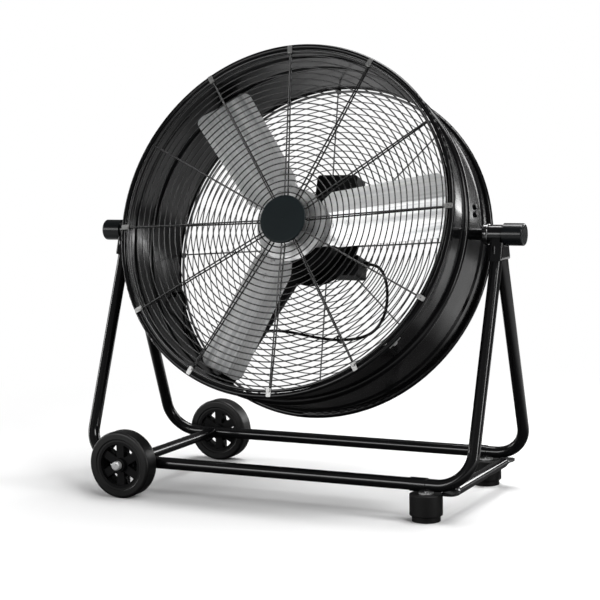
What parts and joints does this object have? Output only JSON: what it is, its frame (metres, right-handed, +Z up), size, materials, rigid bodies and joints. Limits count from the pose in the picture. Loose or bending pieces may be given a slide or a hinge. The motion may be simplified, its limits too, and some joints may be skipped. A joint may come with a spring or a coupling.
{
  "type": "drum fan",
  "caption": "Tilting drum fan in a splayed tubular stand with floor rails, a wheel pair and a foot pair.",
  "frame": {"origin": "on the floor, midway between wheels and feet, straight below the tilt axis", "axes": "+X along the tilt axis from the wheels to the feet, +Y to the back, away from the air outlet, +Z up"},
  "size_m": [0.8608, 0.4436, 0.8348],
  "materials": {
    "tube_black": "gloss black powder coat",
    "drum_black": "gloss black paint",
    "wire_black": "black coated wire",
    "guard_cap": "satin dark grey",
    "blade_aluminium": "satin sheet",
    "zinc": "zinc plated",
    "shaft_steel": "ground",
    "core_steel": "laminated core",
    "motor_black": "satin black paint",
    "plastic_black": "moulded",
    "knob_black": "moulded",
    "rubber": "moulded",
    "tyre": "solid rubber",
    "lead_sheath": "smooth sheath"
  },
  "bodies": {
    "stand": {"leg_tube_front_left": "tube_black", "leg_tube_front_right": "tube_black", "leg_tube_rear_left": "tube_black", "leg_tube_rear_right": "tube_black", "rail_joint_sleeves": "tube_black", "cross_tube": "tube_black", "axle_tube": "tube_black", "pivot_yoke_left": "tube_black", "pivot_yoke_right": "tube_black", "axle_rod": "zinc", "axle_caps": "zinc", "axle_spacers": "plastic_black", "foot_front": "rubber", "foot_rear": "rubber", "foot_studs": "zinc"},
    "drum_head": {"drum_shell": "drum_black", "pivot_boss_left": "drum_black", "pivot_boss_right": "drum_black", "friction_washers": "plastic_black", "front_guard_rings": "wire_black", "front_guard_spokes": "wire_black", "front_guard_cap": "guard_cap", "front_guard_hub_plate": "wire_black", "front_guard_clips": "zinc", "rear_guard_rings": "wire_black", "rear_guard_spokes": "wire_black", "rear_guard_clips": "zinc", "rear_guard_plate": "wire_black", "motor_body": "motor_black", "motor_bells": "motor_black", "motor_stator": "core_steel", "motor_bearings": "shaft_steel", "motor_bracket": "motor_black", "drum_bolts": "zinc", "capacitor_box": "plastic_black", "terminal_box": "plastic_black", "motor_lead": "lead_sheath", "lead_fittings": "plastic_black", "switch_box": "plastic_black", "switch_lid": "plastic_black", "cord_gland": "plastic_black", "rim_clasp": "zinc"},
    "rotor": {"blade_1": "blade_aluminium", "blade_2": "blade_aluminium", "blade_3": "blade_aluminium", "blade_spider": "blade_aluminium", "rotor_fasteners": "zinc", "motor_shaft": "shaft_steel", "motor_rotor_core": "core_steel"},
    "wheel_front": {"wheel_hub_front": "plastic_black", "wheel_tyre_front": "tyre"},
    "wheel_rear": {"wheel_hub_rear": "plastic_black", "wheel_tyre_rear": "tyre"},
    "knob_left": {"pivot_knob_left": "knob_black", "pivot_stud_left": "zinc"},
    "knob_right": {"pivot_knob_right": "knob_black", "pivot_stud_right": "zinc"},
    "speed_selector": {"speed_knob": "knob_black"}
  },
  "joints": [
    {"name": "drum_tilt", "type": "hinge", "parent": "stand", "child": "drum_head", "pos_m": [0, 0, 0.487], "axis": [1, 0, 0], "range_deg": [-71.75, 108.25]},
    {"name": "fan_spin", "type": "hinge", "parent": "drum_head", "child": "rotor", "pos_m": [0, 0, 0.487], "axis": [0, 0.9497, -0.3132], "continuous": true},
    {"name": "front_wheel_spin", "type": "hinge", "parent": "stand", "child": "wheel_front", "pos_m": [-0.287, -0.19235, 0.0625], "axis": [0, 1, 0], "continuous": true},
    {"name": "rear_wheel_spin", "type": "hinge", "parent": "stand", "child": "wheel_rear", "pos_m": [-0.287, 0.19235, 0.0625], "axis": [0, 1, 0], "continuous": true},
    {"name": "right_knob_turn", "type": "hinge", "parent": "drum_head", "child": "knob_right", "pos_m": [0.39, 0, 0.487], "axis": [1, 0, 0], "range_deg": [0, 360]},
    {"name": "left_knob_turn", "type": "hinge", "parent": "drum_head", "child": "knob_left", "pos_m": [-0.39, 0, 0.487], "axis": [-1, 0, 0], "range_deg": [0, 360]},
    {"name": "speed_select", "type": "hinge", "parent": "drum_head", "child": "speed_selector", "pos_m": [-0.31847, 0.04926, 0.33302], "axis": [0, -0.9497, 0.3132], "range_deg": [0, 135]}
  ]
}
